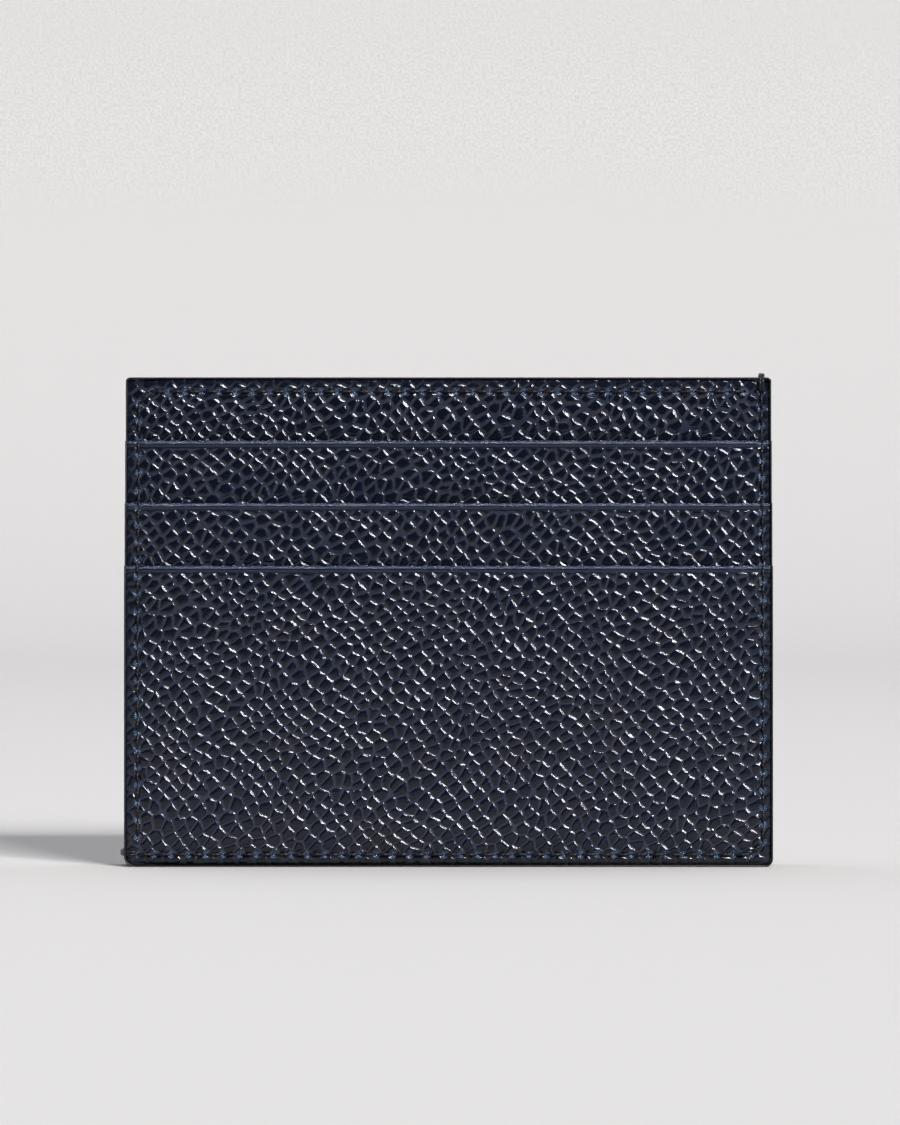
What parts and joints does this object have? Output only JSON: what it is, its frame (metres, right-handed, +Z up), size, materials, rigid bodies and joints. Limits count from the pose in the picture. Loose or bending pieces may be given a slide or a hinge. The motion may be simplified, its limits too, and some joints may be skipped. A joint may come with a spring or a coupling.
{
  "type": "leather card holder",
  "caption": "Flat upright card holder in pebble-grain leather, with stepped card slots across the front and a central pocket open at the top and one side.",
  "frame": {"origin": "middle of the width and the depth, at the bottom edge that the holder stands on", "axes": "+Z up through the height, +X to the right as seen from the front, -Y out of the slotted front face"},
  "size_m": [0.1003, 0.0076, 0.0758],
  "materials": {
    "leather": "satin pebble grain",
    "lining": "matte twill",
    "filler": "matte",
    "edge_paint": "satin gloss",
    "thread": "waxed satin"
  },
  "bodies": {
    "root": {"back_panel": "leather", "back_lining": "lining", "divider_panel": "leather", "divider_lining": "lining", "upper_pocket_strip": "leather", "upper_pocket_lining": "lining", "upper_pocket_hem": "lining", "middle_pocket_strip": "leather", "middle_pocket_lining": "lining", "middle_pocket_hem": "lining", "front_pocket": "leather", "front_pocket_lining": "lining", "left_filler": "filler", "right_filler": "filler", "bottom_filler": "filler", "right_welt": "filler", "bottom_welt": "filler", "bottom_edge_paint": "edge_paint", "right_edge_paint": "edge_paint", "left_front_edge_paint": "edge_paint", "left_back_edge_paint": "edge_paint", "top_front_edge_paint": "edge_paint", "top_back_edge_paint": "edge_paint", "front_half_stitching": "thread", "back_half_stitching": "thread", "closing_seam_front": "thread", "closing_seam_back": "thread", "top_wrap": "thread", "bottom_wrap": "thread", "upper_hem_stitching": "thread", "middle_hem_stitching": "thread"}
  },
  "joints": []
}
